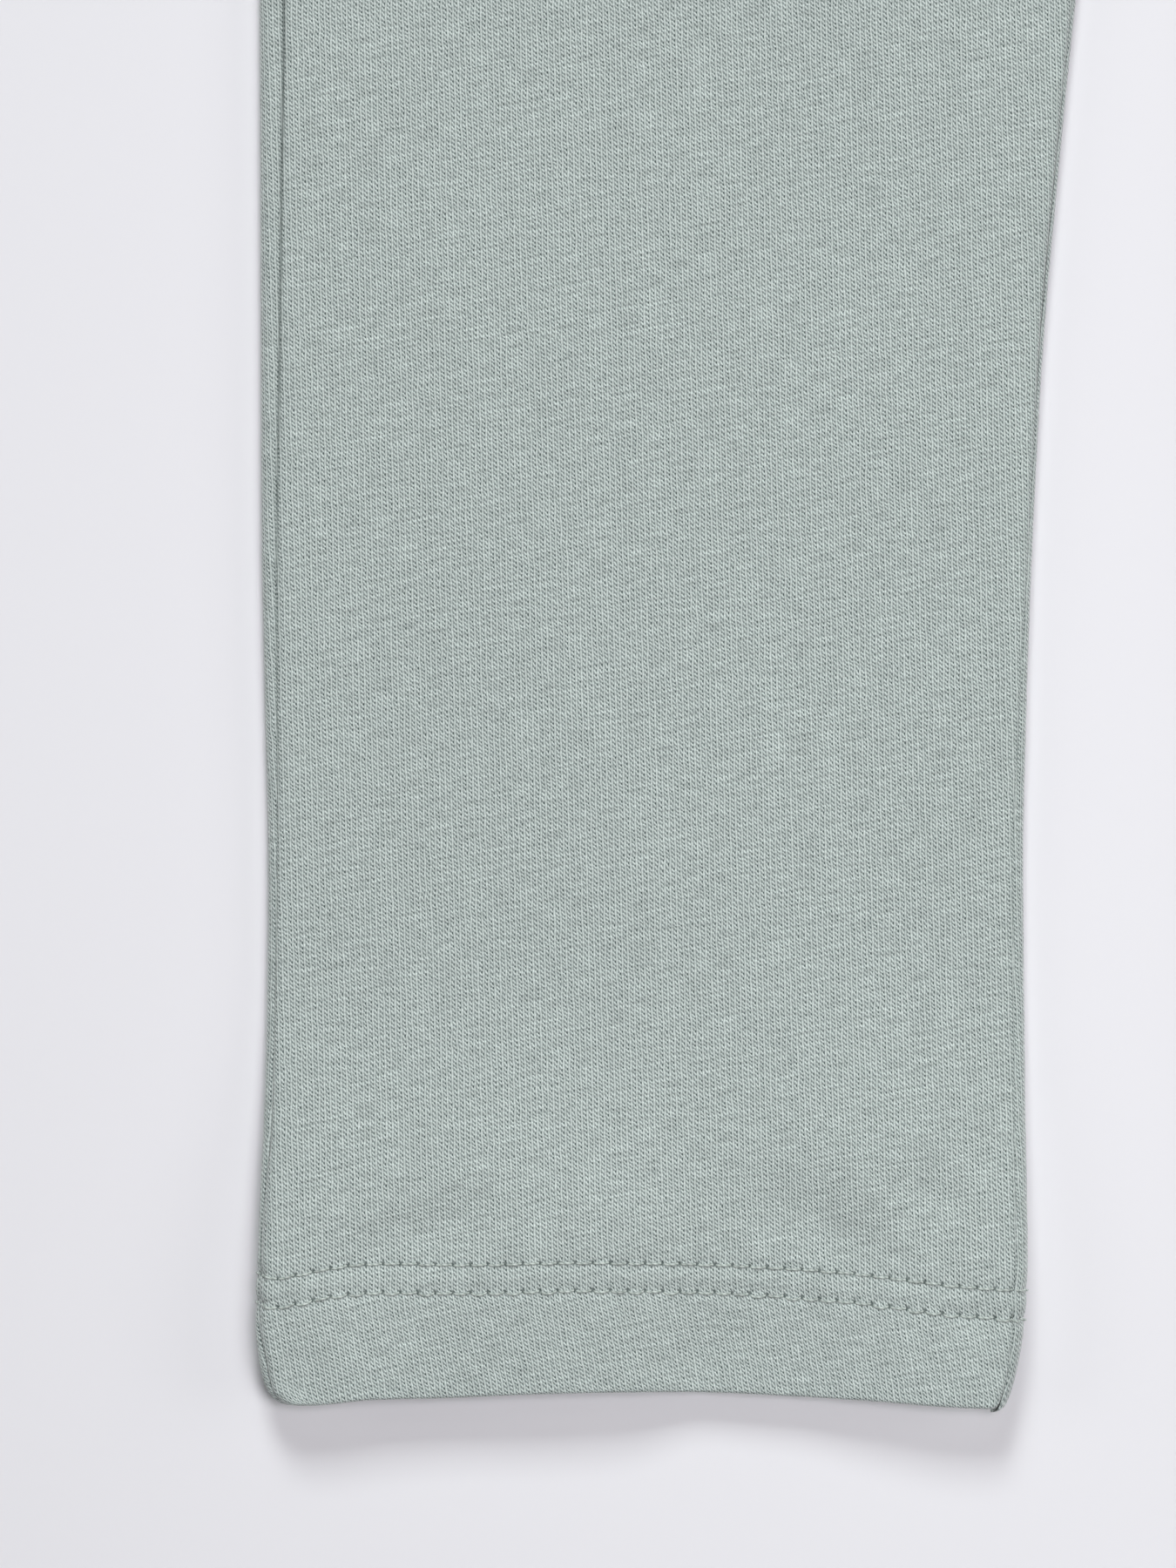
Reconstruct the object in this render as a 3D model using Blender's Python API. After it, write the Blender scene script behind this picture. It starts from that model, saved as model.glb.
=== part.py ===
"""Child's knitted jersey pyjama trousers, lying flat on their back on a table.

Four leg panels (front and back, right and left) are sewn into two tubes that join above the fork,
and an elasticated waistband gathers them at the top. Each panel's lower end is turned up inside as a
hem. Sizes are in millimetres here; MM turns each point into metres as a mesh is made.
+X is towards the wearer's left, +Y towards the waist, +Z up off the table, which is z = 0.
"""

import math
from collections import namedtuple

import bmesh
import bpy

MM = 0.001

# Cloth and seams
WALL = 1.0
SEAM_GAP = 0.3
BAND_WALL = 2.6

# Heights, measured up the leg from the hem line
HEM_DEPTH = 18.8
FORK_HEIGHT = 390.0
FORK_ROLL = 4.0
BAND_BOTTOM = 545.0
BAND_DEPTH = 30.0
BACK_RISE = 12.0
PANEL_TOP = BAND_BOTTOM - SEAM_GAP
LOWEST_HEM = -1.51
PAGE_MIDDLE = (BAND_BOTTOM + BAND_DEPTH + BACK_RISE + LOWEST_HEM) / 2

# Half the thickness of the laid tube at its side edges, which is the radius that the cloth rolls round
LEG_RADIUS = 1.8
HEM_RADIUS = 2.6
WAIST_RADIUS = 3.0

# How far the front sags between its edges, and how high the gathers stand at the waistband
FRONT_SAG = 0.6
PANEL_GATHER = 1.2
BAND_GATHER = 0.5
GATHERS_PER_HALF = 9

FRONT = 1
BACK = -1

# The outline of one half, from the hem up. outer and inner are the distances of its two side edges
# from the centre line. side_roll and inseam_roll are how far in from those edges each seam shows.
Section = namedtuple("Section", "height outer inner side_roll inseam_roll")
SECTIONS = (
    Section(0.0, 148.4, 43.3, 0.5, 1.0),
    Section(5.6, 150.1, 41.7, 0.8, 1.2),
    Section(11.5, 150.7, 40.7, 0.3, 1.6),
    Section(22.0, 150.4, 40.1, 0.2, 1.8),
    Section(32.0, 150.0, 40.2, 0.5, 1.7),
    Section(38.0, 149.7, 40.3, 0.9, 1.7),
    Section(50.0, 149.3, 40.4, 0.9, 1.6),
    Section(76.0, 149.0, 40.6, 1.1, 1.5),
    Section(100.0, 149.5, 40.1, 1.7, 1.0),
    Section(126.0, 150.0, 39.1, 2.2, 0.5),
    Section(151.0, 150.1, 37.7, 2.7, 0.4),
    Section(176.0, 150.2, 35.5, 3.1, 0.4),
    Section(201.0, 150.3, 33.0, 3.5, 0.4),
    Section(250.0, 151.0, 27.0, 3.6, 0.4),
    Section(300.0, 152.3, 19.4, 3.2, 0.4),
    Section(345.0, 153.8, 10.0, 2.6, 0.4),
    Section(375.0, 154.4, 3.3, 2.2, 0.4),
    Section(FORK_HEIGHT, 154.5, SEAM_GAP / 2, 2.0, 0.4),
    Section(430.0, 153.4, SEAM_GAP / 2, 1.5, 0.4),
    Section(470.0, 147.5, SEAM_GAP / 2, 1.0, 0.4),
    Section(510.0, 135.0, SEAM_GAP / 2, 0.8, 0.4),
    Section(535.0, 123.0, SEAM_GAP / 2, 0.8, 0.4),
    Section(BAND_BOTTOM, 118.5, SEAM_GAP / 2, 0.8, 0.4),
    Section(BAND_BOTTOM + BAND_DEPTH, 114.0, SEAM_GAP / 2, 0.8, 0.4),
)

# The hem's lower edge, from the outer edge (0) to the inner edge (1): how far it bows up the leg, and
# how high it stands off the table on each leg.
HemEdge = namedtuple("HemEdge", "across bow right_lift left_lift")
HEM_EDGE = (
    HemEdge(0.00, -0.9, 3.2, 2.2),
    HemEdge(0.05, -0.9, 3.5, 2.3),
    HemEdge(0.14, -0.1, 3.0, 2.0),
    HemEdge(0.23, 0.1, 2.5, 1.4),
    HemEdge(0.37, 0.7, 2.8, 0.6),
    HemEdge(0.47, 0.9, 2.3, 0.5),
    HemEdge(0.58, 0.8, 0.2, 1.3),
    HemEdge(0.70, 0.3, 0.6, 2.0),
    HemEdge(0.81, -0.3, 2.1, 2.3),
    HemEdge(0.93, -1.2, 3.3, 1.9),
    HemEdge(1.00, -1.5, 3.0, 1.7),
)
LIFT_FADES_BY = 58.0
BOW_FADES_BY = 60.0

# The largest soft folds of the fronts. centre and height place the middle, lean turns the fold's line
# from up the leg towards the centre line, and rise is positive for a ridge.
Fold = namedtuple("Fold", "side centre height length width rise lean")
FOLDS = (
    Fold(-1, 73.0, 180.0, 150.0, 16.0, -0.4, 2.0),
    Fold(-1, 132.0, 95.0, 110.0, 24.0, -0.3, -4.0),
    Fold(-1, 96.0, 66.0, 90.0, 26.0, 0.3, 3.0),
    Fold(-1, 74.0, 345.0, 170.0, 20.0, 0.9, 24.0),
    Fold(-1, 112.0, 430.0, 120.0, 18.0, 0.8, 30.0),
    Fold(1, 88.0, 120.0, 140.0, 22.0, 0.4, -5.0),
    Fold(1, 118.0, 235.0, 150.0, 20.0, -0.4, 3.0),
    Fold(1, 66.0, 350.0, 150.0, 18.0, 0.9, 28.0),
    Fold(1, 104.0, 425.0, 130.0, 20.0, 0.8, 26.0),
)

# Heights of the rows of points up each panel. Above GATHER_ROWS[0] the rows have more points across,
# so that they can carry the gathers.
LEG_ROWS = (7.5, 14.0, 19.5, 24.0, 29.0, 45.0, 70.0, 100.0, 135.0, 170.0, 210.0, 250.0, 290.0,
            330.0, 365.0, 386.0, FORK_HEIGHT, FORK_HEIGHT + FORK_ROLL, 415.0, 440.0)
GATHER_ROWS = (465.0, 488.0, 510.0, 530.0, PANEL_TOP)
HEM_FOLD_STEPS = 4
HEM_LAYER_ROWS = 3

# Steps between points across a panel, round its outer edge, over its middle and round its inner edge
Across = namedtuple("Across", "outer middle inner")
STEPS = {FRONT: Across(3, 8, 3), BACK: Across(5, 8, 3)}
SPLIT_FOR_GATHERS = 3
BAND_CORNER_STEPS = 3

JERSEY_COLOUR = (0.407, 0.456, 0.448, 1.0)
JERSEY_ROUGHNESS = 0.9


def smooth(t):
    """0 below 0, 1 above 1 and an easy curve between."""
    t = min(max(t, 0.0), 1.0)
    return t * t * (3.0 - 2.0 * t)


def mix(a, b, t):
    return a + (b - a) * t


def read(table, column, at):
    """A table's column at a place on its first column, on a smooth curve that never overshoots."""
    keys = [row[0] for row in table]
    values = [getattr(row, column) for row in table]
    at = min(max(at, keys[0]), keys[-1])
    i = max(k for k in range(len(keys) - 1) if keys[k] <= at)

    def rise(k):
        k = min(max(k, 0), len(keys) - 2)
        return (values[k + 1] - values[k]) / (keys[k + 1] - keys[k])

    def slope(k):
        before, after = rise(k - 1), rise(k)
        return 2 * before * after / (before + after) if before * after > 0 else 0.0

    step = keys[i + 1] - keys[i]
    t = (at - keys[i]) / step
    ease_in, ease_out = t * (1.0 - t) ** 2, t * t * (t - 1.0)
    return (mix(values[i], values[i + 1], smooth(t))
            + step * (ease_in * slope(i) + ease_out * slope(i + 1)))


def edge_radius(height):
    """The laid tube is thicker at the double hem and where the waistband gathers it."""
    at_hem = 1.0 - smooth((height - 20.0) / 9.0)
    at_waist = smooth((height - 470.0) / 65.0)
    return (LEG_RADIUS + (HEM_RADIUS - LEG_RADIUS) * at_hem
            + (WAIST_RADIUS - LEG_RADIUS) * at_waist)


def arc_to(inward, radius, depth):
    """How far round the rolled edge the cloth's outside shows this far in, as an arc at a depth."""
    turned = radius - depth
    if inward < radius:
        return turned * math.acos(1.0 - inward / radius)
    return turned * math.pi / 2 + inward - radius


def over_edge(arc, radius, depth):
    """(distance in from the edge, height) of a point on the roll, depth inside the cloth's outside.

    arc is the way along the cloth from the edge's outermost line, and positive on the front.
    """
    turned = radius - depth
    quarter = turned * math.pi / 2
    if abs(arc) <= quarter:
        angle = arc / turned
        return radius - turned * math.cos(angle), radius + turned * math.sin(angle)
    return radius + abs(arc) - quarter, radius + math.copysign(turned, arc)


def fold_rise(side, centre, height):
    """Height that the soft folds add to the front of one half, at a distance from the centre line."""
    total = 0.0
    for fold in FOLDS:
        if fold.side != side:
            continue
        lean = math.radians(fold.lean)
        away, up = centre - fold.centre, height - fold.height
        along = up * math.cos(lean) - away * math.sin(lean)
        beside = up * math.sin(lean) + away * math.cos(lean)
        reach = 1.0 - smooth(abs(along) / (fold.length / 2))
        total += fold.rise * reach * math.exp(-((beside / (fold.width / 2)) ** 2))
    return total


def gather_wave(across):
    """One half's gathers from its side edge (0) to the centre line (1), each between 0 and 1."""
    uneven = across * GATHERS_PER_HALF + 0.22 * math.sin(3 * math.pi * across)
    return 0.5 - 0.5 * math.cos(2 * math.pi * uneven)


def gather_rise(across, height, inward):
    grown = smooth((height - 462.0) / (BAND_BOTTOM - 462.0)) ** 2
    return PANEL_GATHER * grown * gather_wave(across) * smooth(inward / 8.0)


def front_rise(side, across, centre, height, inward, clear_inside):
    """Height that sag, folds and gathers add to the front, fading out at the rolled edges."""
    fade = smooth(inward / 20.0) * smooth(clear_inside / 20.0)
    in_leg = smooth((height - 22.0) / 16.0) * (1.0 - smooth((height - 470.0) / 50.0))
    soft = (fold_rise(side, centre, height) - FRONT_SAG) * fade * in_leg
    slack = (gather_rise(across, height, inward)
             - PANEL_GATHER * smooth((height - 475.0) / 60.0) * smooth(inward / 8.0) * 0.7)
    return soft + slack


def on_page(side, face, height, centre, z):
    """Puts a point of the ring on the table: hem bow and lift, the higher back, and the page's axes."""
    outer, inner = read(SECTIONS, "outer", height), read(SECTIONS, "inner", height)
    across = min(max((outer - centre) / (outer - inner), 0.0), 1.0)
    lift = "right_lift" if side < 0 else "left_lift"
    z += read(HEM_EDGE, lift, across) * (1.0 - smooth(height / LIFT_FADES_BY))
    up = height + read(HEM_EDGE, "bow", across) * (1.0 - smooth(height / BOW_FADES_BY))
    if face == BACK:
        up += (BACK_RISE * smooth((height - 400.0) / (BAND_BOTTOM - 400.0))
               * smooth((outer - centre) / 45.0))
    return (side * centre * MM, (up - PAGE_MIDDLE) * MM, z * MM)


def steps_between(first, last, count):
    """count + 1 even values from first to last."""
    return [mix(first, last, i / count) for i in range(count + 1)]


def edge_part(face, roll, radius, depth, flat_from, steps):
    """(distance in, height) from a seam, over its rolled edge, to where the flat points begin."""
    seam = arc_to(roll, radius, depth) + face * SEAM_GAP / 2
    flat = face * arc_to(flat_from, radius, depth)
    return [over_edge(arc, radius, depth) for arc in steps_between(seam, flat, steps)]


def panel_row(side, face, height, depth, fine=False):
    """The points of a panel across one section, from its side seam to its inner or centre seam."""
    outer, inner = read(SECTIONS, "outer", height), read(SECTIONS, "inner", height)
    side_roll, inseam_roll = read(SECTIONS, "side_roll", height), read(SECTIONS, "inseam_roll", height)
    radius = edge_radius(height)
    steps = STEPS[face]

    flat_from = max(radius, side_roll + 1.2)
    outer_part = [(outer - inward, z) for inward, z
                  in edge_part(face, side_roll, radius, depth, flat_from, steps.outer)]

    flat_to = max(radius, inseam_roll + 1.2)
    inner_part = [(inner + inward, z) for inward, z
                  in reversed(edge_part(face, inseam_roll, radius, depth, flat_to, steps.inner))]

    # Above the fork the inner part lies flat, and its points spread out.
    first = outer_part[-1]
    if height > FORK_HEIGHT:
        inner_part = [(inner + flat_to * (1.0 - i / steps.inner), first[1])
                      for i in range(steps.inner + 1)]
    last = inner_part[0]
    flat_part = [(mix(first[0], last[0], i / steps.middle), first[1]) for i in range(steps.middle)]
    flat_part += inner_part
    many = len(flat_part) - 1
    spread = smooth((height - FORK_HEIGHT - FORK_ROLL) / 45.0)
    flat_part = [(mix(x, mix(first[0], inner, i / many), spread), z)
                 for i, (x, z) in enumerate(flat_part)]
    if fine:
        many *= SPLIT_FOR_GATHERS
        flat_part = [(mix(first[0], inner, i / many), first[1]) for i in range(many + 1)]

    row = []
    for centre, z in outer_part[:-1] + flat_part:
        inward = outer - centre
        across = min(max(inward / (outer - inner), 0.0), 1.0)
        if face == FRONT:
            clear_inside = centre - inner if height <= FORK_HEIGHT else 20.0
            z += front_rise(side, across, centre, height, inward, clear_inside)
        else:
            z += gather_rise(across, height, inward) * 0.8
        row.append(on_page(side, face, height, centre, z))
    return row


def panel_path():
    """(height, depth) along the cloth's right side and its wrong side: turned-up layer, fold, leg."""
    middle = WALL + SEAM_GAP / 2
    right_side = [(h, 2 * middle) for h in steps_between(HEM_DEPTH, middle, HEM_LAYER_ROWS)]
    wrong_side = [(h, 2 * middle - WALL) for h, _ in right_side]
    for i in range(1, HEM_FOLD_STEPS):
        turn = math.pi * i / HEM_FOLD_STEPS
        for path, radius in ((right_side, middle), (wrong_side, middle - WALL)):
            path.append((middle - radius * math.sin(turn), middle + radius * math.cos(turn)))
    up_the_leg = (middle, *LEG_ROWS, *GATHER_ROWS)
    right_side += [(h, 0.0) for h in up_the_leg]
    wrong_side += [(h, WALL) for h in up_the_leg]
    return right_side, wrong_side


def join_rows(mesh, low, high, splits):
    """Faces between two rows of points. Where the high row has more, splits says how many each gets."""
    if len(low) == len(high):
        splits = [1] * (len(low) - 1)
    start = 0
    for i, count in enumerate(splits):
        mesh.faces.new((low[i], low[i + 1], *reversed(high[start:start + count + 1])))
        start += count


def finish_object(name, mesh, collection):
    """A shaded object from a closed bmesh, with its material."""
    bmesh.ops.recalc_face_normals(mesh, faces=mesh.faces)
    data = bpy.data.meshes.new(name)
    mesh.to_mesh(data)
    mesh.free()
    data.shade_smooth()
    data.materials.append(jersey_material(name + "_jersey"))
    collection.objects.link(bpy.data.objects.new(name, data))


def jersey_material(name):
    material = bpy.data.materials.new(name)
    material.use_nodes = True
    shader = material.node_tree.nodes["Principled BSDF"]
    shader.inputs["Base Color"].default_value = JERSEY_COLOUR
    shader.inputs["Roughness"].default_value = JERSEY_ROUGHNESS
    shader.inputs["Metallic"].default_value = 0.0
    return material


def make_panel(name, side, face, collection):
    """One leg panel: its right side and wrong side, lofted through the sections and closed all round."""
    steps = STEPS[face]
    splits = [1] * steps.outer + [SPLIT_FOR_GATHERS] * (steps.middle + steps.inner)
    mesh = bmesh.new()
    right_side, wrong_side = (
        [[mesh.verts.new(point) for point in panel_row(side, face, height, depth, height >= GATHER_ROWS[0])]
         for height, depth in path]
        for path in panel_path())
    for cloth in (right_side, wrong_side):
        for low, high in zip(cloth, cloth[1:]):
            join_rows(mesh, low, high, splits)
    for end in (0, -1):
        join_rows(mesh, right_side[end], wrong_side[end], splits)
        join_rows(mesh, [row[end] for row in right_side], [row[end] for row in wrong_side], splits)
    finish_object(name, mesh, collection)


def band_point(side, face, across, arc, height, depth):
    """A point of the waistband: on its rolled end where arc is given, and otherwise over its middle."""
    outer = read(SECTIONS, "outer", height)
    radius = WAIST_RADIUS
    if arc is None:
        centre = (outer - radius) * (1.0 - across)
        z = 2 * radius - depth if face == FRONT else depth
        z += BAND_GATHER * gather_wave(across) * smooth((outer - centre) / 10.0)
    else:
        inward, z = over_edge(arc, radius, depth)
        centre = outer - inward
    return on_page(side, face, height, centre, z)


def band_ring(height, depth):
    """The band's points once round at a height and depth: right front, left front, left back, right back."""
    quarter = WAIST_RADIUS * math.pi / 2
    flat_steps = (STEPS[FRONT].middle + STEPS[FRONT].inner) * SPLIT_FOR_GATHERS
    flat = [i / flat_steps for i in range(1, flat_steps)]
    corner = steps_between(0.0, quarter, BAND_CORNER_STEPS)
    ring = []
    for side, face, outwards in ((-1, FRONT, False), (1, FRONT, True), (1, BACK, False), (-1, BACK, True)):
        part = [band_point(side, face, 0.0, face * arc, height, depth) for arc in corner]
        part += [band_point(side, face, across, None, height, depth) for across in flat]
        part.append(band_point(side, face, 1.0, None, height, depth))
        ring += reversed(part[1:]) if outwards else part[:-1]
    return ring


def make_waistband(name, collection):
    """The elasticated band as one closed ring: its wall's outline carried once round the waist."""
    top, bottom, round_off = BAND_BOTTOM + BAND_DEPTH, BAND_BOTTOM, 1.3
    outline = (
        (bottom, round_off * 0.4),
        (bottom + round_off, 0.0),
        (top - round_off, 0.0),
        (top, BAND_WALL * 0.3),
        (top, BAND_WALL * 0.7),
        (top - round_off, BAND_WALL),
        (bottom + round_off, BAND_WALL),
        (bottom, BAND_WALL - round_off * 0.4),
    )
    mesh = bmesh.new()
    rings = [[mesh.verts.new(p) for p in band_ring(height, depth)] for height, depth in outline]
    for low, high in zip(rings, rings[1:] + rings[:1]):
        for i in range(len(low)):
            j = (i + 1) % len(low)
            mesh.faces.new((low[i], low[j], high[j], high[i]))
    finish_object(name, mesh, collection)


def clear_scene():
    for item in list(bpy.data.objects):
        bpy.data.objects.remove(item)


def main():
    clear_scene()
    collection = bpy.data.collections.new("jersey_trousers")
    bpy.context.scene.collection.children.link(collection)
    for side, wearer in ((-1, "right"), (1, "left")):
        make_panel(f"front_{wearer}_leg", side, FRONT, collection)
        make_panel(f"back_{wearer}_leg", side, BACK, collection)
    make_waistband("waistband", collection)


main()
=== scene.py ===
# %% [markdown]
# # A child's jersey trousers, laid flat on a table
#
# The real thing is a pair of plain pyjama trousers in light cotton jersey. Four leg panels are sewn into
# two tubes, the hems are turned up inside and held by two rows of stitches, and an elastic waistband gathers
# the top. Cloth this thin has no visible wall, so each panel is one curved sheet with a folded hem, built
# from the sizes that a maker would write down, and the knit itself is a material that follows the sheet.

# %% Load the frame
import math
from collections import namedtuple

import bpy
import numpy as np
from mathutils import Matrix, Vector


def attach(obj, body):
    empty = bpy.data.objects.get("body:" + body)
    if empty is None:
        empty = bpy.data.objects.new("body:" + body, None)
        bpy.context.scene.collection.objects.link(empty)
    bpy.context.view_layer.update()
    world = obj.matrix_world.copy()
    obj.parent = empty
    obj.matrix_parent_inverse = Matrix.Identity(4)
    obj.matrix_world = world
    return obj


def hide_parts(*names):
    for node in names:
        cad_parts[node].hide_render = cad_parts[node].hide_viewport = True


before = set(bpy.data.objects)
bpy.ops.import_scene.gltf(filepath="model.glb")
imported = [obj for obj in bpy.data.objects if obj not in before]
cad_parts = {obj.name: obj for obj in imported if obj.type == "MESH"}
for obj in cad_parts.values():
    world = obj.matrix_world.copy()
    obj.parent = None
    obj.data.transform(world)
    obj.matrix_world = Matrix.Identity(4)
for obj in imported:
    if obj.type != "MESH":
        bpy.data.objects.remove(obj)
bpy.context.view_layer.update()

print("nodes:", sorted(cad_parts))

# %% [markdown]
# ## The outline
#
# A laid trouser leg is a flattened tube. These tables say where its two side edges run, how far in from
# them each seam shows, and how the hem's lower edge bows and stands off the table. They are the same sizes
# as the solid model's, in millimetres up the leg from the hem, so every sheet lies on its own solid.

# %% Sizes of the laid trousers
MM = 0.001
FORK_HEIGHT = 390.0
FORK_ROLL = 4.0
BAND_BOTTOM = 545.0
BAND_DEPTH = 30.0
BACK_RISE = 12.0
LOWEST_HEM = -1.51
PAGE_MIDDLE = (BAND_BOTTOM + BAND_DEPTH + BACK_RISE + LOWEST_HEM) / 2
LEG_RADIUS = 1.8
HEM_RADIUS = 2.6
WAIST_RADIUS = 3.0
FRONT_SAG = 0.6
PANEL_GATHER = 1.2
BAND_GATHER = 0.5
GATHERS_PER_HALF = 9
LIFT_FADES_BY = 58.0
BOW_FADES_BY = 60.0
DENTS_FADE_BY = 60.0
SEAT_STARTS = 400.0
GATHERS_START = 462.0
FRONT, BACK = 1, -1
RIGHT, LEFT = -1, 1

Section = namedtuple("Section", "height outer inner side_roll inseam_roll")
SECTIONS = (
    Section(0.0, 148.4, 43.3, 0.5, 1.0),
    Section(5.6, 150.1, 41.7, 0.8, 1.2),
    Section(11.5, 150.7, 40.7, 0.3, 1.6),
    Section(22.0, 150.4, 40.1, 0.2, 1.8),
    Section(32.0, 150.0, 40.2, 0.5, 1.7),
    Section(38.0, 149.7, 40.3, 0.9, 1.7),
    Section(50.0, 149.3, 40.4, 0.9, 1.6),
    Section(76.0, 149.0, 40.6, 1.1, 1.5),
    Section(100.0, 149.5, 40.1, 1.7, 1.0),
    Section(126.0, 150.0, 39.1, 2.2, 0.5),
    Section(151.0, 150.1, 37.7, 2.7, 0.4),
    Section(176.0, 150.2, 35.5, 3.1, 0.4),
    Section(201.0, 150.3, 33.0, 3.5, 0.4),
    Section(250.0, 151.0, 27.0, 3.6, 0.4),
    Section(300.0, 152.3, 19.4, 3.2, 0.4),
    Section(345.0, 153.8, 10.0, 2.6, 0.4),
    Section(375.0, 154.4, 3.3, 2.2, 0.4),
    Section(FORK_HEIGHT, 154.5, 0.15, 2.0, 0.4),
    Section(430.0, 153.4, 0.15, 1.5, 0.4),
    Section(470.0, 147.5, 0.15, 1.0, 0.4),
    Section(510.0, 135.0, 0.15, 0.8, 0.4),
    Section(535.0, 123.0, 0.15, 0.8, 0.4),
    Section(BAND_BOTTOM, 118.5, 0.15, 0.8, 0.4),
    Section(BAND_BOTTOM + BAND_DEPTH, 114.0, 0.15, 0.8, 0.4),
)

HemEdge = namedtuple("HemEdge", "across bow right_lift left_lift")
HEM_EDGE = (
    HemEdge(0.00, -0.9, 3.2, 2.2),
    HemEdge(0.05, -0.9, 3.5, 2.3),
    HemEdge(0.14, -0.1, 3.0, 2.0),
    HemEdge(0.23, 0.1, 2.5, 1.4),
    HemEdge(0.37, 0.7, 2.8, 0.6),
    HemEdge(0.47, 0.9, 2.3, 0.5),
    HemEdge(0.58, 0.8, 0.2, 1.3),
    HemEdge(0.70, 0.3, 0.6, 2.0),
    HemEdge(0.81, -0.3, 2.1, 2.3),
    HemEdge(0.93, -1.2, 3.3, 1.9),
    HemEdge(1.00, -1.5, 3.0, 1.7),
)

# Soft folds of the fronts. centre and height place each one, lean turns it towards the centre line.
Fold = namedtuple("Fold", "side centre height length width rise lean")
FOLDS = (
    Fold(RIGHT, 73.0, 180.0, 150.0, 16.0, -0.8, 2.0),
    Fold(RIGHT, 132.0, 95.0, 110.0, 24.0, -0.3, -4.0),
    Fold(RIGHT, 96.0, 66.0, 90.0, 26.0, 0.3, 3.0),
    Fold(RIGHT, 74.0, 345.0, 170.0, 20.0, 0.9, 24.0),
    Fold(RIGHT, 112.0, 430.0, 120.0, 18.0, 0.8, 30.0),
    Fold(LEFT, 88.0, 120.0, 140.0, 22.0, 0.4, -5.0),
    Fold(LEFT, 118.0, 235.0, 150.0, 20.0, -0.4, 3.0),
    Fold(LEFT, 66.0, 350.0, 150.0, 18.0, 0.9, 28.0),
    Fold(LEFT, 104.0, 425.0, 130.0, 20.0, 0.8, 26.0),
)

# Small dents just above the hem, where the double cloth pulls at the single.
DENTS = (
    Fold(RIGHT, 127.0, 23.5, 38.0, 8.0, -1.25, 71.0),
    Fold(RIGHT, 97.0, 24.0, 20.0, 9.0, 0.35, 80.0),
    Fold(RIGHT, 69.0, 24.0, 34.0, 10.0, -1.5, 113.0),
    Fold(RIGHT, 54.0, 30.0, 18.0, 8.0, -1.0, 125.0),
    Fold(RIGHT, 147.0, 3.0, 20.0, 9.0, -0.8, 45.0),
    Fold(RIGHT, 86.0, 6.0, 18.0, 8.0, -0.5, 20.0),
    Fold(RIGHT, 47.0, 13.0, 10.0, 6.0, -0.6, 20.0),
    Fold(LEFT, 128.0, 26.0, 34.0, 8.0, -0.8, -68.0),
    Fold(LEFT, 94.0, 26.0, 24.0, 9.0, 0.35, -80.0),
    Fold(LEFT, 62.0, 25.0, 30.0, 9.0, -0.9, -115.0),
)
print("sections:", len(SECTIONS), "folds:", len(FOLDS) + len(DENTS))

# %% [markdown]
# ## Reading the tables
#
# A handful of sizes becomes cloth by drawing a smooth curve through them. The curve must not overshoot,
# or the two legs would cross at the fork, so each point's slope is the harmonic mean of its neighbours'.
# numpy does this for a whole row of cloth at once.


# %% Curves through a table
def smooth(t):
    t = np.clip(t, 0.0, 1.0)
    return t * t * (3.0 - 2.0 * t)


def mix(a, b, t):
    return a + (b - a) * t


def read(table, column, at):
    """A column of a table, on a smooth curve that never overshoots."""
    keys = np.array([row[0] for row in table])
    values = np.array([getattr(row, column) for row in table])
    rise = np.diff(values) / np.diff(keys)
    before, after = np.r_[rise[0], rise], np.r_[rise, rise[-1]]
    same_way = before * after > 0
    slope = np.where(same_way, 2 * before * after / np.where(same_way, before + after, 1.0), 0.0)
    at = np.clip(at, keys[0], keys[-1])
    i = np.clip(np.searchsorted(keys, at, side="right") - 1, 0, len(keys) - 2)
    step = keys[i + 1] - keys[i]
    t = (at - keys[i]) / step
    return (mix(values[i], values[i + 1], smooth(t))
            + step * t * (1 - t) * ((1 - t) * slope[i] - t * slope[i + 1]))


def edge_radius(height):
    at_hem = 1.0 - smooth((height - 19.0) / 45.0)
    at_waist = smooth((height - 470.0) / 65.0)
    return (LEG_RADIUS + (HEM_RADIUS - LEG_RADIUS) * at_hem
            + (WAIST_RADIUS - LEG_RADIUS) * at_waist)


print("half width at the fork:", float(read(SECTIONS, "outer", FORK_HEIGHT)), "mm")

# %% [markdown]
# ## Stitch rows
#
# The hem is held by a coverstitch: two needle threads 4 mm apart, 2.5 mm a stitch. Sewing never runs quite
# level, so a table gives the upper row's distance above the hem edge across the leg. Each needle pulls the
# cloth down a little, which matters more to the eye than the thread does.

# %% The rows' places
STITCH = 2.5
ROW_SPACING = 4.0
ROW_COUNT = 2
Row = namedtuple("Row", "across above")
HEM_ROW = (
    Row(0.000, 18.7),
    Row(0.026, 18.0),
    Row(0.055, 18.6),
    Row(0.10, 19.2),
    Row(0.15, 19.4),
    Row(0.29, 19.0),
    Row(0.42, 18.9),
    Row(0.57, 18.6),
    Row(0.67, 18.4),
    Row(0.77, 18.0),
    Row(0.86, 17.4),
    Row(0.93, 17.0),
    Row(1.00, 16.8),
)


def across_of(centre, height):
    """0 at a leg's outer edge, 1 at its inner edge or the centre line."""
    outer, inner = read(SECTIONS, "outer", height), read(SECTIONS, "inner", height)
    return np.clip((outer - centre) / (outer - inner), 0.0, 1.0)


def above_upper_row(centre, height):
    """How far a point of the hem lies above the upper stitch row, in mm along the cloth."""
    across = across_of(centre, height)
    return height - read(HEM_ROW, "above", across)


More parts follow.
